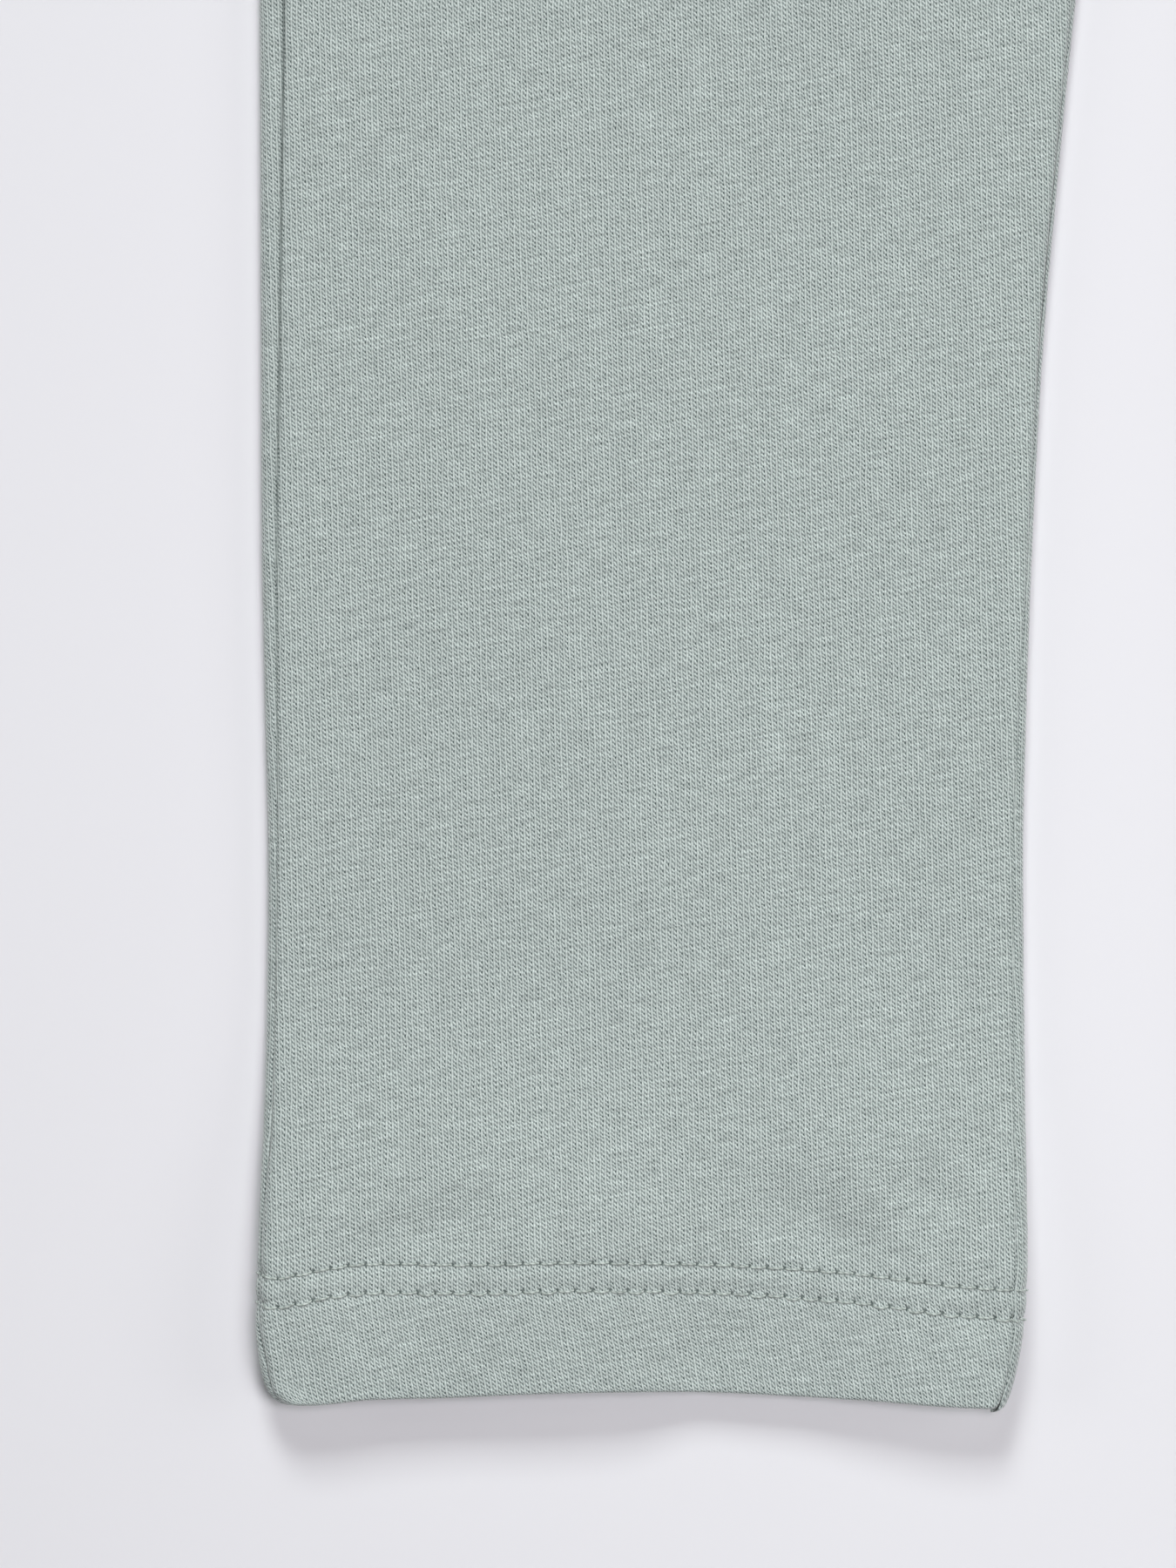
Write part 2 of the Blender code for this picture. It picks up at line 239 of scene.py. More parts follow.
def needle_pull(centre, above_row):
    """How deep the needles pull the cloth in, and how far it swells between them."""
    phase = 2 * np.pi * centre / STITCH
    swell = 0.10 * np.exp(-(((above_row + ROW_SPACING / 2) / 1.1) ** 2))
    pull = 0.0
    for row in range(ROW_COUNT):
        off = above_row + row * ROW_SPACING
        pull = pull + 0.26 * np.exp(-((off / 0.75) ** 2))
        pull = pull + 0.13 * np.cos(phase) * np.exp(-((off / 0.95) ** 2))
    return pull - swell


print("stitches across one leg front:", round((SECTIONS[0].outer - SECTIONS[0].inner) / STITCH))

# %% [markdown]
# ## Folds, gathers and seams
#
# Nothing sewn lies quite flat. The front sags between the side edges, pulls into long soft folds below the
# fork, and crowds into gathers under the elastic. At each seam the two panels roll in and meet in a narrow
# groove, with a low ridge beside it from the seam allowance inside. All of it is a depth along the cloth's
# normal, so it works the same on the flat and round the edges.


# %% Height of the soft forms
def fold_rise(table, side, centre, height):
    total = 0.0
    for fold in table:
        if fold.side != side:
            continue
        lean = math.radians(fold.lean)
        away, up = centre - fold.centre, height - fold.height
        along = up * math.cos(lean) - away * math.sin(lean)
        beside = up * math.sin(lean) + away * math.cos(lean)
        reach = 1.0 - smooth(np.abs(along) / (fold.length / 2))
        total = total + fold.rise * reach * np.exp(-((beside / (fold.width / 2)) ** 2))
    return total


def gather_wave(across):
    uneven = across * GATHERS_PER_HALF + 0.22 * np.sin(3 * np.pi * across)
    return 0.5 - 0.5 * np.cos(2 * np.pi * uneven)


def gather_rise(across, height, inward):
    grown = smooth((height - GATHERS_START) / (BAND_BOTTOM - GATHERS_START)) ** 2
    return PANEL_GATHER * grown * gather_wave(across) * smooth(inward / 8.0)


def front_rise(side, across, centre, height, inward, clear_inside):
    fade = smooth(inward / 20.0) * smooth(clear_inside / 20.0)
    in_leg = smooth((height - 22.0) / 45.0) * (1.0 - smooth((height - 470.0) / 50.0))
    soft = (fold_rise(FOLDS, side, centre, height) - FRONT_SAG) * fade * in_leg
    slack = (gather_rise(across, height, inward)
             - PANEL_GATHER * smooth((height - 475.0) / 60.0) * smooth(inward / 8.0) * 0.7)
    return soft + slack


def uneven_cloth(centre, height, seed):
    """The slight waviness of cloth that was folded and washed: a few long ripples that never line up."""
    return (0.07 * np.sin(centre / 9.1 + height / 31.0 + seed)
            + 0.06 * np.sin(height / 13.7 - centre / 23.0 + 2.1 * seed)
            + 0.04 * np.sin(centre / 4.3 - height / 17.0 + 0.7 * seed))


def seam_form(from_seam, along, ridge):
    """Depth of the cloth beside a seam: a groove, then the ridge of the seam allowance, puckered."""
    groove = 0.24 * (1.0 - smooth(from_seam / 0.40)) + 0.16 * (1.0 - smooth(from_seam / 1.3))
    pucker = 1.0 + 0.25 * np.sin(along / 0.9 + 1.3 * np.sin(along / 4.1)) + 0.2 * np.sin(along / 2.3)
    return groove - ridge * pucker * np.exp(-(((from_seam - 2.1) / 1.2) ** 2))


print("tallest gather:", PANEL_GATHER, "mm")

# %% [markdown]
# ## One leg's surface
#
# A point of a panel is named by two lengths that a tape would measure on the cloth: its distance from the
# centre line and its height up the leg. The surface function rolls that point over the side edges,
# applies the soft forms and puts it on the table. Threads are laid with the same function, so they follow
# every dip of the cloth.


# %% From cloth to table
def seam_lines(face, height):
    """The cloth distances from the centre line at which a panel's inner and outer seams run."""
    radius = edge_radius(height)
    quarter = radius * np.pi / 2

    def seam_arc(roll):
        on_curve = radius * np.arccos(np.clip(1.0 - roll / radius, -1.0, 1.0))
        return np.where(roll < radius, on_curve, quarter + roll - radius)

    outer, inner = read(SECTIONS, "outer", height), read(SECTIONS, "inner", height)
    side_arc = seam_arc(read(SECTIONS, "side_roll", height))
    inseam_arc = seam_arc(read(SECTIONS, "inseam_roll", height))
    closed = smooth((height - FORK_HEIGHT) / FORK_ROLL)
    out_line = outer - radius + quarter - face * side_arc
    in_line = inner + radius - quarter + face * inseam_arc
    return mix(in_line, 0.0, closed), out_line


def over_edge(arc, radius, depth):
    turned, quarter = radius - depth, radius * np.pi / 2
    curved = np.abs(arc) <= quarter
    angle = np.clip(arc / radius, -np.pi / 2, np.pi / 2)
    inward = np.where(curved, radius - turned * np.cos(angle), radius + np.abs(arc) - quarter)
    z = radius + np.where(curved, turned * np.sin(angle), np.sign(arc) * turned)
    return inward, z


CORNER_RADIUS = 2.4
SEAM_END_DROP = 0.45


def corner_inset(height):
    """The hem's corners are rounded, because the seam holds the fold's end back."""
    reach = np.clip(CORNER_RADIUS - height, 0.0, CORNER_RADIUS)
    return CORNER_RADIUS - np.sqrt(CORNER_RADIUS ** 2 - reach ** 2)


def on_table(side, face, height, centre, z):
    across = across_of(centre, height)
    lift = "right_lift" if side == RIGHT else "left_lift"
    z = z + read(HEM_EDGE, lift, across) * (1.0 - smooth(height / LIFT_FADES_BY))
    up = height + read(HEM_EDGE, "bow", across) * (1.0 - smooth(height / BOW_FADES_BY))
    if face == BACK:
        outer = read(SECTIONS, "outer", height)
        up = up + (BACK_RISE * smooth((height - SEAT_STARTS) / (BAND_BOTTOM - SEAT_STARTS))
                   * smooth((outer - centre) / 45.0))
    return np.stack([side * centre * MM, (up - PAGE_MIDDLE) * MM, z * MM], axis=-1)


def leg_surface(side, face, centre, height, depth=0.0):
    """The points of a leg panel at cloth distances from the centre line and heights, as arrays."""
    centre, height = np.broadcast_arrays(np.asarray(centre, float), np.asarray(height, float))
    outer, inner = read(SECTIONS, "outer", height), read(SECTIONS, "inner", height)
    in_line, out_line = seam_lines(face, height)
    radius = edge_radius(height)
    quarter = radius * np.pi / 2

    hem = smooth((26.0 - height) / 4.0)
    sewn = needle_pull(centre, above_upper_row(centre, height)) * hem * (depth < 1.0)
    ridge = 0.10 if face == FRONT else 0.05
    seams = (seam_form(out_line - centre, height, ridge)
             + 0.5 * seam_form(centre - in_line, height + 9.0, ridge * 1.5)) * (depth < 1.0)
    uneven = uneven_cloth(centre, height, side + 2.0 * face) * smooth(height / 6.0)
    depth = depth + sewn + seams
    shifted = depth - uneven if face == FRONT else depth

    near_side = centre > (outer + inner) / 2
    arc = face * (quarter + np.where(near_side, outer - radius - centre, centre - inner - radius))
    inward, z = over_edge(arc, radius, shifted)
    inset = corner_inset(height) * (1.0 - smooth(inward / 9.0))
    x = np.where(near_side, outer - inset - inward, inner + 0.25 * inset + inward)

    closed = smooth((height - FORK_HEIGHT) / FORK_ROLL) * ~near_side
    flat_z = radius + face * (radius - shifted)
    x, z = mix(x, centre, closed), mix(z, flat_z, closed)

    from_edge = outer - x
    across = across_of(x, height)
    if face == FRONT:
        clear_inside = np.where(height <= FORK_HEIGHT, x - inner, 20.0)
        z = z + front_rise(side, across, x, height, from_edge, clear_inside)
        inside = smooth(from_edge / 6.0) * smooth((x - inner) / 5.0)
        z = z + fold_rise(DENTS, side, x, height) * inside * smooth((DENTS_FADE_BY - height) / 20.0)
    else:
        z = z + gather_rise(across, height, from_edge) * 0.8
        by_inseam = np.exp(-(((centre - in_line) / 1.1) ** 2)) * (1.0 - smooth(height / 3.5))
        height = height - SEAM_END_DROP * by_inseam
    return on_table(side, face, height, x, z)


for side, name in ((RIGHT, "right"), (LEFT, "left")):
    low, high = seam_lines(FRONT, np.array([1.0]))
    point = leg_surface(side, FRONT, (low + high) / 2, np.array([10.0]))[0]
    print(name, "hem stands", round(point[2] / MM, 2), "mm high in its middle")

# %% [markdown]
# ## Colours and the node helper
#
# The cloth is one pale sage green and the sewing thread a shade lighter. Colours are written as the hex
# values a designer would name and turned to linear light once, here. One small function adds any node,
# sets it up and links it, so that a pattern reads like the sum that it is.


# %% Colour and node helpers
def linear(hex_colour, alpha=1.0):
    channels = [int(hex_colour[i:i + 2], 16) / 255 for i in (1, 3, 5)]
    return (*(c / 12.92 if c <= 0.04045 else ((c + 0.055) / 1.055) ** 2.4 for c in channels), alpha)


def node(tree, kind, inputs=(), output=0, **settings):
    """Adds a node, sets its properties, fills or links its inputs, and returns one output."""
    made = tree.nodes.new(kind)
    for key, value in settings.items():
        setattr(made, key, value)
    pairs = inputs.items() if isinstance(inputs, dict) else enumerate(inputs)
    for key, value in pairs:
        if isinstance(value, bpy.types.NodeSocket):
            tree.links.new(value, made.inputs[key])
        elif value is not None:
            made.inputs[key].default_value = value
    return made.outputs[output]


def new_material(name, roughness, **sockets):
    """A material with its shader's constant sockets set, and the tree and shader to finish."""
    material = bpy.data.materials.new(name)
    material.use_nodes = True
    shader = material.node_tree.nodes["Principled BSDF"]
    shader.inputs["Roughness"].default_value = roughness
    for key, value in sockets.items():
        shader.inputs[key.replace("_", " ")].default_value = value
    return material, material.node_tree, shader


print("sage in linear light:", [round(c, 3) for c in linear("#abb4b3")])

# %% [markdown]
# ## The jersey
#
# Jersey is knitted from one yarn. Its right side shows columns of V-shaped stitches, called wales, 0.8 mm
# apart here, in rows called courses, 0.65 mm apart. A single yarn twists the fabric a little, so one leg of
# each V stands almost upright and joins into a line, and the other lies across it as a short dash, with a
# small hole between them. The light on the loops and the shade in the holes are painted into the colour, as
# well as given to the bump. The pattern counts wales and courses from the piece's own UV map.

# %% The knit material
WALE = 0.80
COURSE = 0.65
COURSE_SLANT = math.radians(10.6)
WALE_TILT = math.radians(1.5)
HEM_WALE_TILT = math.radians(9.5)


def jersey(name, seed):
    """Single jersey from cotton yarn: matt, a little fuzzy, with holes between its stitches."""
    material, tree, shader = new_material(name, roughness=0.88, Sheen_Weight=0.7,
                                          Sheen_Roughness=0.35, Specular_IOR_Level=0.25)

    def sums(operation, a, b=None, c=None):
        return node(tree, "ShaderNodeMath", (a, b, c), operation=operation)

    def both(vector):
        return [node(tree, "ShaderNodeSeparateXYZ", (vector,), output=axis) for axis in (0, 1)]

    def length(a, b):
        return sums("SQRT", sums("ADD", sums("MULTIPLY", a, a), sums("MULTIPLY", b, b)))

    def shade(colour, share, hex_colour):
        return node(tree, "ShaderNodeMix", {0: share, "A": colour, "B": linear(hex_colour)},
                    output=2, data_type="RGBA")

    knit = node(tree, "ShaderNodeUVMap", uv_map="knit")
    moved = node(tree, "ShaderNodeVectorMath", (knit, (seed * 17.0, seed * 5.0, 0.0)), operation="ADD")
    wander = node(tree, "ShaderNodeTexNoise", {"Vector": moved, "Scale": 0.30, "Detail": 1.0}, output=1)
    shift = node(tree, "ShaderNodeVectorMath", (wander, (0.5, 0.5, 0.5)), operation="SUBTRACT")
    shift = node(tree, "ShaderNodeVectorMath", (shift, (0.50, 0.95, 0.0)), operation="MULTIPLY")
    stitch = node(tree, "ShaderNodeVectorMath", (knit, shift), operation="ADD")
    wale, course = both(stitch)
    place = sums("FRACT", wale)
    up = sums("SUBTRACT", sums("FRACT", course), 0.5)

    def fade(value, full, none):
        return node(tree, "ShaderNodeMapRange", {0: value, 1: full, 2: none, 3: 1.0, 4: 0.0},
                    interpolation_type="SMOOTHSTEP")

    def spot(at_place, at_up, size):
        aside = sums("SUBTRACT", place, at_place)
        above = sums("MULTIPLY", sums("SUBTRACT", up, at_up), 0.8)
        return fade(length(aside, above), 0.03, size)

    beat = sums("SINE", sums("MULTIPLY_ADD", course, 2 * math.pi, 0.9))
    line_middle = sums("MULTIPLY_ADD", beat, 0.03, 0.18)
    line = fade(sums("ABSOLUTE", sums("SUBTRACT", place, line_middle)), 0.02, 0.26)
    line = sums("MULTIPLY", line, sums("MULTIPLY_ADD", beat, 0.17, 0.83))
    leaf_middle = sums("MULTIPLY_ADD", up, -0.47, 0.70)
    leaf = fade(sums("ABSOLUTE", sums("SUBTRACT", place, leaf_middle)), 0.04, 0.23)
    leaf = sums("MULTIPLY", leaf, fade(sums("ABSOLUTE", up), 0.28, 0.60))
    fuzz = node(tree, "ShaderNodeTexNoise", {"Vector": stitch, "Scale": 0.95, "Detail": 3.0, "Roughness": 0.6})
    yarn = sums("MAXIMUM", line, leaf)
    yarn = sums("MULTIPLY", yarn, sums("MULTIPLY_ADD", fuzz, 1.9, -0.04))
    yarn = sums("MULTIPLY_ADD", yarn, 0.70, 0.39)

    own = node(tree, "ShaderNodeCombineXYZ", (sums("FLOOR", wale), sums("FLOOR", course)))
    chance = node(tree, "ShaderNodeTexWhiteNoise", (own,), noise_dimensions="2D")
    open_stitch = sums("MULTIPLY_ADD", sums("POWER", chance, 1.6), 0.85, 0.24)
    # The holes between stitches are darkened, which is painted shade, and sunk in the bump.
    gap_shade = sums("ADD", sums("MULTIPLY", spot(0.92, 0.22, 0.30), open_stitch),
               sums("MULTIPLY", spot(0.46, -0.28, 0.26), 0.25))
    yarn = sums("SUBTRACT", yarn, sums("MULTIPLY", gap_shade, 0.62))

    # The ramp paints the knit's light and shade into its colour: dark in the holes, a shaded middle, light
    # where the loops stand highest. The yarn itself is one pale sage.
    colour = node(tree, "ShaderNodeValToRGB", (yarn,))
    ramp = tree.nodes[-1].color_ramp
    ramp.elements[0].position, ramp.elements[0].color = 0.0, linear("#515d5b")
    ramp.elements[1].position, ramp.elements[1].color = 1.0, linear("#d8e1dd")
    middle = ramp.elements.new(0.40)
    middle.color = linear("#949f9c")

    stretch = node(tree, "ShaderNodeVectorMath", (moved, (0.20, 1.5, 1.0)), operation="MULTIPLY")
    streak = node(tree, "ShaderNodeTexNoise", {"Vector": stretch, "Scale": 1.0, "Detail": 2.0})
    stretch = node(tree, "ShaderNodeVectorMath", (moved, (0.09, 0.95, 1.0)), operation="MULTIPLY")
    slub = node(tree, "ShaderNodeTexNoise", {"Vector": stretch, "Scale": 1.0, "Detail": 0.0})
    slub = sums("SUBTRACT", 1.0, fade(slub, 0.60, 0.80))
    cloud = node(tree, "ShaderNodeTexNoise", {"Vector": moved, "Scale": 0.021, "Detail": 3.0})
    tone = sums("ADD", sums("MULTIPLY_ADD", streak, 0.66, 0.565), sums("MULTIPLY_ADD", cloud, 0.08, -0.04))
    tone = sums("MULTIPLY_ADD", slub, 0.07, tone)
    colour = node(tree, "ShaderNodeMix", {0: 1.0, "A": colour, "B": tone},
                  output=2, data_type="RGBA", blend_type="MULTIPLY")

    beside, above = both(node(tree, "ShaderNodeUVMap", uv_map="sewing"))
    from_needle = sums("MULTIPLY", sums("SUBTRACT", sums("FRACT", beside), 0.5), STITCH)
    from_row = sums("ADD", sums("PINGPONG", sums("MINIMUM", sums("MAXIMUM", above, -ROW_SPACING), 0.0),
                                ROW_SPACING / 2),
                    sums("ADD", sums("MAXIMUM", above, 0.0),
                         sums("MAXIMUM", sums("SUBTRACT", -ROW_SPACING, above), 0.0)))
    # Each needle hole is painted dark: painted shade falling into the hole.
    hole = fade(length(from_needle, from_row), 0.14, 0.48)
    colour = shade(colour, sums("MULTIPLY", hole, 0.80), "#414d4a")

    # Painted shade in the seam grooves: a broad soft darkening beside each seam, and a narrow dark line where
    # the two panels meet. The narrow line swells at each seam stitch, so it is partly the stitches' own dark
    # holes and partly painted shade. Both are strongest higher up the leg, and faintest near the hem and along
    # the inseam.
    from_seam, along_seam = both(node(tree, "ShaderNodeUVMap", uv_map="seam"))
    tug = sums("MULTIPLY_ADD", sums("SINE", sums("MULTIPLY", along_seam, 2 * math.pi / 2.3)), 0.08, 0.36)
    seam_shade_strength = sums("SUBTRACT", 0.85, sums("MULTIPLY", fade(along_seam, 60.0, 170.0), 0.62))
    shaded = sums("MULTIPLY", fade(from_seam, 0.1, 1.4), sums("MULTIPLY", seam_shade_strength, 0.07))
    colour = shade(colour, shaded, "#3f4a48")
    closed = sums("MULTIPLY", fade(from_seam, 0.08, tug), sums("MULTIPLY_ADD", fuzz, 0.9, 0.1))
    colour = shade(colour, sums("MULTIPLY", closed, seam_shade_strength), "#414d4a")
    tree.links.new(colour, shader.inputs["Base Color"])

    height = sums("SUBTRACT", yarn, sums("MULTIPLY", hole, 0.8))
    bump = node(tree, "ShaderNodeBump", {"Strength": 0.55, "Distance": 0.16 * MM, "Height": height})
    tree.links.new(bump, shader.inputs["Normal"])
    return material


front_jersey = jersey("cotton_jersey_front", 1)
back_jersey = jersey("cotton_jersey_back", 2)
print("wales per inch:", round(25.4 / WALE), "courses per inch:", round(25.4 / COURSE))

# %% [markdown]
# ## The panels
#
# A panel is a grid of points. Its rows go up the leg, closer together where the hem's stitches need them, and
# start inside: up the turned-in layer, round the fold at the hem's edge, then up the outside. Its columns
# go from seam to seam, closer together where the cloth rolls over the side edges.

# %% Make a leg panel
CLOTH = 0.7
HEM_FOLD_RADIUS = CLOTH / 2 + 0.5
HEM_FOLD_REACH = 0.4
TURNED_UP = 19.6
FINE_ROWS_TO = 27.0
PHOTO_ROWS_TO = 216.0
GATHER_ROWS_FROM = 470.0
NO_STITCHES = 40.0
INSEAM_SHADE_SHIFT = -690.0


def evenly(first, last, step):
    return np.linspace(first, last, max(2, round(abs(last - first) / step) + 1))


def panel_rows(step):
    """(height, depth, length along the cloth from the hem's edge) for each row of a panel."""
    low, thick = HEM_FOLD_REACH, HEM_FOLD_RADIUS
    bend = (low + thick) / 2
    inside = [(h, 2 * thick, -(h - low) - bend * np.pi / 2) for h in evenly(TURNED_UP, low, 2.0)[:-1]]
    fold = [(low - low * math.sin(t), thick + thick * math.cos(t), bend * (t - np.pi / 2))
            for t in np.linspace(0, np.pi, 11)]
    stops = (low, FINE_ROWS_TO, PHOTO_ROWS_TO, FORK_HEIGHT, FORK_HEIGHT + FORK_ROLL, GATHER_ROWS_FROM,
             BAND_BOTTOM)
    steps = (0.5 * step, 1.3 * step, 3.0, 1.0, 3.5, 1.5)
    outside = [(h, 0.0, h - low + bend * np.pi / 2)
               for first, last, each in zip(stops, stops[1:], steps) for h in evenly(first, last, each)[1:]]
    return np.array(inside + fold + outside)


def panel_columns(in_line, out_line, edge_step, edge_count, middle_count):
    """Distances from the centre line across one row: fine at the seam, then at the edge, then even."""
    from_seam = np.r_[0.0, 0.12, 0.3, 0.55, 0.85, 1.2, 1.6, 2.05]
    from_seam = np.r_[from_seam, from_seam[-1] + edge_step * np.arange(1, edge_count + 1)]
    left, right = in_line + from_seam, out_line - from_seam[::-1]
    middle = np.linspace(left[-1], right[0], middle_count + 1)[1:-1]
    return np.r_[left, middle, right]


def hem_tilt(along):
    """How far the wales have leaned over by a length up the cloth: more below the stitches."""
    below = np.minimum(along, 16.0)
    return below * math.tan(HEM_WALE_TILT) + (along - below) * math.tan(WALE_TILT)


def grid_object(name, points, uv_maps, material, loop=False):
    """A mesh from rows of points, with its UV maps, facing out as the rows and columns turn."""
    rows, columns = points.shape[:2]
    index = np.arange(rows * columns).reshape(rows, columns)
    if loop:
        index = np.c_[index, index[:, 0]]
    quads = np.stack([index[:-1, :-1], index[:-1, 1:], index[1:, 1:], index[1:, :-1]], axis=-1).reshape(-1, 4)
    mesh = bpy.data.meshes.new(name)
    mesh.from_pydata(points.reshape(-1, 3).tolist(), [], quads.tolist())
    for label, values in uv_maps.items():
        if loop:
            values = np.concatenate([values, values[:, :1] + values[:, -1:] - values[:, -2:-1]], axis=1)
        at = np.arange(values.shape[0] * values.shape[1]).reshape(values.shape[:2])
        corners = np.stack([at[:-1, :-1], at[:-1, 1:], at[1:, 1:], at[1:, :-1]], axis=-1).reshape(-1)
        layer = mesh.uv_layers.new(name=label)
        layer.data.foreach_set("uv", values.reshape(-1, 2)[corners].astype(np.float32).reshape(-1))
    mesh.materials.append(material)
    mesh.shade_smooth()
    made = bpy.data.objects.new(name, mesh)
    bpy.context.scene.collection.objects.link(made)
    return made


def make_panel(name, side, face, material, step, edge_count, middle_count):
    rows = panel_rows(step)
    points, knit, sewing, seam = [], [], [], []
    for height, depth, along in rows:
        in_line, out_line = (float(line) for line in seam_lines(face, np.array(height)))
        centre = panel_columns(in_line, out_line, 0.45, edge_count, middle_count)
        points.append(leg_surface(side, face, centre, height, depth))
        x = side * face * centre
        wale = (x + hem_tilt(along)) / WALE
        course = (along - math.tan(COURSE_SLANT) * x) / COURSE
        knit.append(np.stack([wale, course], axis=-1))
        above = above_upper_row(centre, height) if depth < 1.0 else np.full_like(centre, NO_STITCHES)
        sewing.append(np.stack([centre / STITCH + 0.5, above], axis=-1))
        by_inseam = centre - in_line < out_line - centre
        nearest = np.where(by_inseam, centre - in_line, out_line - centre)
        # The inseam's length along the cloth is shifted far below the hem, so the painted seam shade stays at
        # its faintest there.
        seam.append(np.stack([nearest, along + INSEAM_SHADE_SHIFT * by_inseam], axis=-1))
    grids = [np.array(grid) for grid in (points, knit, sewing, seam)]
    if (side == RIGHT) == (face == FRONT):
        grids = [grid[:, ::-1] for grid in grids]
    made = grid_object(name, grids[0], dict(zip(("knit", "sewing", "seam"), grids[1:])), material)
    print(name, "has", len(made.data.polygons), "faces")
    return made


panels = {}
for side, wearer in ((RIGHT, "right"), (LEFT, "left")):
    step = 1.0 if side == RIGHT else 1.4
    panels[f"front_{wearer}_leg"] = make_panel(
        f"jersey_front_{wearer}", side, FRONT, front_jersey, step, 8, 150 if side == RIGHT else 110)
    panels[f"back_{wearer}_leg"] = make_panel(
        f"jersey_back_{wearer}", side, BACK, back_jersey, step * 1.4, 26, 60)

# %% [markdown]
# ## The waistband
#
# The band is a strip of the same jersey folded over elastic. It is a closed ring, so one strip of points goes
# once round the waist: up the outside, over the top fold and down the inside. The elastic pulls the cloth into
# small upright gathers that run on from those of the legs.

# %% Make the waistband
BAND_FOLD_RADIUS = 1.25


def band_surface(side, face, distance, height, depth):
    """A point of the band. distance is measured round the cloth from the band's side edge."""
    outer = read(SECTIONS, "outer", height)
    inward, z = over_edge(face * distance, WAIST_RADIUS, depth)
    centre = np.maximum(outer - inward, 0.0)
    across = np.clip((outer - WAIST_RADIUS - centre) / (outer - WAIST_RADIUS), 0.0, 1.0)
    z = z + BAND_GATHER * gather_wave(across) * smooth((outer - centre) / 10.0) * 1.5
    z = z - face * 0.35 * (1.0 - smooth((height - BAND_BOTTOM) / 2.5))
    return on_table(side, face, height, centre, z)


def band_half(height):
    """The cloth's length from the band's side edge to the centre line."""
    return float(read(SECTIONS, "outer", np.array(height))) - WAIST_RADIUS + WAIST_RADIUS * np.pi / 2


def band_ring(height, depth, along, step=1.0):
    half = band_half(height)
    away = np.linspace(0.0, half, round(half / step) + 1)
    parts, knit, sewing, round_band = [], [], [], 0.0
    for side, face, outwards in ((RIGHT, FRONT, False), (LEFT, FRONT, True),
                                 (LEFT, BACK, False), (RIGHT, BACK, True)):
        distance = away[::-1][:-1] if outwards else away[:-1]
        parts.append(band_surface(side, face, distance, np.full_like(distance, height), depth))
        run = (half - distance if outwards else distance) + round_band
        knit.append(np.stack([run * 1.15 / WALE, np.full_like(run, along / COURSE)], axis=-1))
        sewing.append(np.stack([run / STITCH + 0.5, np.full_like(run, NO_STITCHES)], axis=-1))
        round_band += half
    knit, sewing = np.concatenate(knit), np.concatenate(sewing)
    seam = np.stack([np.full_like(knit[:, 0], max(along, 0.0)), knit[:, 0]], axis=-1)
    return np.concatenate(parts), knit, sewing, seam


band_top = BAND_BOTTOM + BAND_DEPTH
band_path = [(h, 0.0, h - BAND_BOTTOM) for h in evenly(BAND_BOTTOM, band_top - BAND_FOLD_RADIUS, 1.0)]
band_path += [(band_top - BAND_FOLD_RADIUS + BAND_FOLD_RADIUS * math.sin(t),
               BAND_FOLD_RADIUS * (1 - math.cos(t)), BAND_DEPTH + BAND_FOLD_RADIUS * t)
              for t in np.linspace(0, np.pi, 9)[1:]]
band_path += [(h, 2 * BAND_FOLD_RADIUS, BAND_DEPTH + band_top - h)
              for h in evenly(band_top - BAND_FOLD_RADIUS, BAND_BOTTOM + 0.5, 2.0)[1:]]
rings = [band_ring(*place) for place in band_path]
fewest = min(len(ring[0]) for ring in rings)
rings = [band_ring(*place, step=band_half(place[0]) / (fewest / 4)) for place in band_path]
points, *maps = (np.array(grid) for grid in zip(*rings))
waistband = grid_object("jersey_waistband", points, dict(zip(("knit", "sewing", "seam"), maps)),
                        front_jersey, loop=True)
print("waistband has", len(waistband.data.polygons), "faces")

# %% [markdown]
# ## The stitches
#
# A needle thread shows as a short bar from hole to hole, a little bowed, that dives into the cloth at each end.
# One is modelled from a small ring: it is extruded along the stitch, and each ring is moved to the thread's
# arc. It is then copied for every stitch, stretched to reach from one hole to the next.

# %% Model one stitch
THREAD_RADIUS = 0.17
Bend = namedtuple("Bend", "along rise thick")
STITCH_BENDS = (
    Bend(0.00, -0.42, 0.75),
    Bend(0.06, -0.05, 0.95),
    Bend(0.18, 0.17, 1.0),
    Bend(0.50, 0.24, 1.08),
    Bend(0.82, 0.17, 1.0),
    Bend(0.94, -0.05, 0.95),
    Bend(1.00, -0.42, 0.75),
)

bpy.ops.object.select_all(action="DESELECT")
first = STITCH_BENDS[0]
bpy.ops.mesh.primitive_circle_add(vertices=6, radius=THREAD_RADIUS * first.thick * MM, fill_type="NOTHING",
                                  location=(0, 0, first.rise * MM), rotation=(0, math.pi / 2, 0))
one_stitch = bpy.context.object
one_stitch.name = "one_stitch"
bpy.ops.object.transform_apply(location=True, rotation=True, scale=True)
bpy.ops.object.mode_set(mode="EDIT")
bpy.ops.mesh.select_all(action="SELECT")
for here, there in zip(STITCH_BENDS, STITCH_BENDS[1:]):
    move = ((there.along - here.along) * STITCH * MM, 0, (there.rise - here.rise) * MM)
    bpy.ops.mesh.extrude_region_move(TRANSFORM_OT_translate={"value": move})
    bpy.ops.transform.resize(value=(1, there.thick / here.thick, there.thick / here.thick))
bpy.ops.mesh.select_all(action="SELECT")
bpy.ops.mesh.normals_make_consistent(inside=False)
bpy.ops.object.mode_set(mode="OBJECT")
